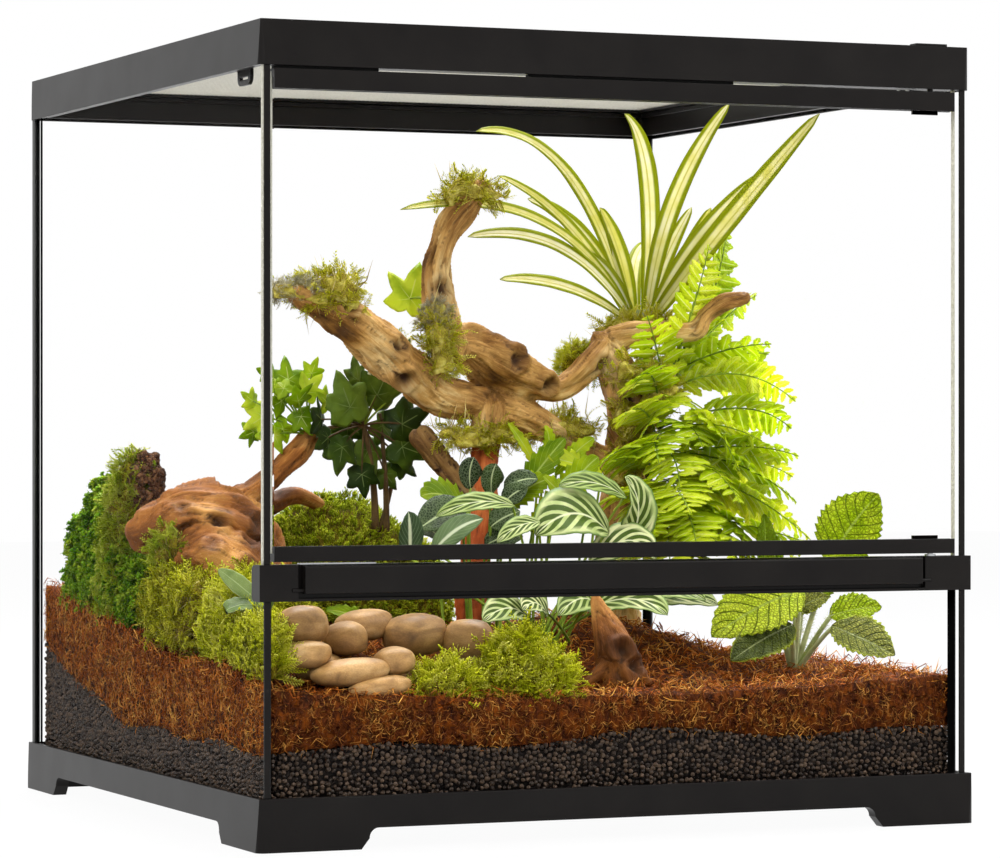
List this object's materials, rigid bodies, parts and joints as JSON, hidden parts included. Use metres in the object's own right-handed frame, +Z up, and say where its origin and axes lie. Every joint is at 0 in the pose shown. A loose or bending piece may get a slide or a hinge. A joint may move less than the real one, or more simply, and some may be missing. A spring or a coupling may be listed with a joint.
{
  "type": "planted reptile terrarium",
  "caption": "Square front-opening glass terrarium with black frames, hinged glass door, vent flap, lift-off mesh lid and planted landscape of wood, stones, moss, ferns and leafy plants.",
  "frame": {"origin": "centre of the footprint, on the surface that the feet stand on", "axes": "+X to the right along the front, +Y from the front to the back, +Z up"},
  "size_m": [0.47, 0.4714, 0.4815],
  "materials": {
    "black": "satin, lightly bevelled edges",
    "glass": "clear float glass, polished edges",
    "black_silicone": "black silicone",
    "steel": "bright",
    "soft_pad": "soft matt",
    "bush": "acetal",
    "magnet": "plated",
    "mesh": "pale stainless woven screen",
    "clay": "small dark fired-clay pellets",
    "coir": "loose red-brown coconut fibre",
    "wood": "washed driftwood with grain and knots",
    "stone": "smooth, slightly glossy pebbles",
    "moss": "fine living moss",
    "leaf": "living leaves"
  },
  "bodies": {
    "enclosure": {"base_frame": "black", "bottom_glass": "glass", "left_glass": "glass", "right_glass": "glass", "back_glass": "glass", "window_glass": "glass", "left_post": "black", "right_post": "black", "rear_corner_strips": "black_silicone", "glass_seals": "black_silicone", "crossbar": "black", "vent_mesh": "steel", "strike_plate": "steel", "flap_pins": "black", "top_frame": "black", "door_stop_pads": "soft_pad", "lower_hinge_pin": "steel", "upper_hinge_pin": "black", "left_catch_pins": "steel", "right_catch_pins": "steel", "drainage_pellets": "clay", "coir_bed": "coir", "root_wood": "wood", "side_log": "wood", "mossy_stump": "moss", "root_chip": "wood", "river_stones": "stone", "moss_mound": "moss", "moss_cushions": "moss", "perched_moss": "moss", "curly_moss": "moss", "spider_plant": "leaf", "fern": "leaf", "prayer_plant": "leaf", "quilted_plant": "leaf", "ivy": "leaf", "oval_leaf_plant": "leaf"},
    "door": {"door_glass": "glass", "door_bottom_trim": "black", "door_top_trim": "black", "lower_hinge_bush": "bush", "upper_hinge_bush": "bush", "lower_hinge_clip": "black", "upper_hinge_clip": "black", "door_magnet": "magnet"},
    "lid": {"lid_frame": "black", "lid_mesh": "mesh"},
    "flap": {"vent_flap": "black"},
    "left_catch": {"left_lid_catch": "black"},
    "right_catch": {"right_lid_catch": "black"}
  },
  "joints": [
    {"name": "door_hinge", "type": "hinge", "parent": "enclosure", "child": "door", "pos_m": [0.207, -0.229, 0.309], "axis": [0, 0, 1], "range_deg": [0, 130]},
    {"name": "lid_lift", "type": "slide", "parent": "enclosure", "child": "lid", "axis": [0, 0, 1], "range_m": [0, 0.12]},
    {"name": "vent_flap_hinge", "type": "hinge", "parent": "enclosure", "child": "flap", "pos_m": [-0.00415, -0.2329, 0.1507], "axis": [1, 0, 0], "range_deg": [0, 60]},
    {"name": "left_catch_slide", "type": "slide", "parent": "enclosure", "child": "left_catch", "axis": [0, 0, -1], "range_m": [0, 0.004]},
    {"name": "right_catch_slide", "type": "slide", "parent": "enclosure", "child": "right_catch", "axis": [0, 0, -1], "range_m": [0, 0.004]}
  ]
}
